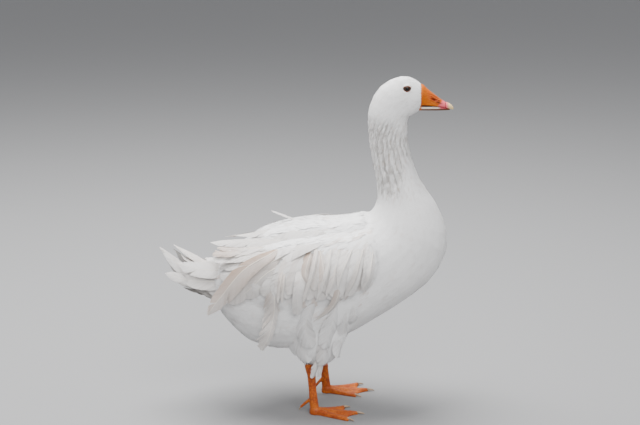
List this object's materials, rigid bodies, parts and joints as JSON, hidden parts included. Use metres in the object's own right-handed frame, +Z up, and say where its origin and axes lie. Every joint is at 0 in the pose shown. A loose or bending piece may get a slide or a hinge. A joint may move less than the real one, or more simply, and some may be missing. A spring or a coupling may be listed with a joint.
{
  "type": "domestic goose",
  "caption": "Life-size standing white domestic goose with long loose curled wing feathers, a furrowed neck, an orange bill with a pink nail, and webbed feet.",
  "frame": {"origin": "middle of the goose's box, on the floor under its feet", "axes": "+X towards the bill, +Y towards the goose's left, +Z up"},
  "size_m": [0.5248, 0.2452, 0.6069],
  "materials": {
    "white_feather": "soft satin white feathers",
    "loose_feather": "long loose cream and buff feathers",
    "bill": "smooth waxy orange skin over horn",
    "nail": "pink to cream polished horn",
    "eye": "wet, very dark brown",
    "leg": "scaly dull orange skin",
    "claw": "pale horn"
  },
  "bodies": {
    "root": {"bill_lower": "bill", "bill_nail": "nail", "bill_upper": "bill", "claw_hind_l": "claw", "claw_hind_r": "claw", "claw_inner_l": "claw", "claw_inner_r": "claw", "claw_middle_l": "claw", "claw_middle_r": "claw", "claw_outer_l": "claw", "claw_outer_r": "claw", "eye_l": "eye", "eye_r": "eye", "foot_l": "leg", "foot_r": "leg", "head": "white_feather", "hind_toe_l": "leg", "hind_toe_r": "leg", "mantle": "white_feather", "neck_lower": "white_feather", "neck_middle": "white_feather", "neck_upper": "white_feather", "plume_l_1": "loose_feather", "plume_l_2": "loose_feather", "plume_l_3": "loose_feather", "plume_l_4": "loose_feather", "plume_l_5": "loose_feather", "plume_l_6": "loose_feather", "plume_l_7": "loose_feather", "plume_r_1": "loose_feather", "plume_r_2": "loose_feather", "plume_r_3": "loose_feather", "plume_r_4": "loose_feather", "plume_r_5": "loose_feather", "plume_r_6": "loose_feather", "plume_r_7": "loose_feather", "primaries_l": "loose_feather", "primaries_r": "loose_feather", "secondaries_l": "loose_feather", "secondaries_r": "loose_feather", "shank_l": "leg", "shank_r": "leg", "tail": "white_feather", "tertials_l": "loose_feather", "tertials_r": "loose_feather", "thigh_l": "white_feather", "thigh_r": "white_feather", "trunk": "white_feather", "wing_l": "white_feather", "wing_r": "white_feather"}
  },
  "joints": []
}
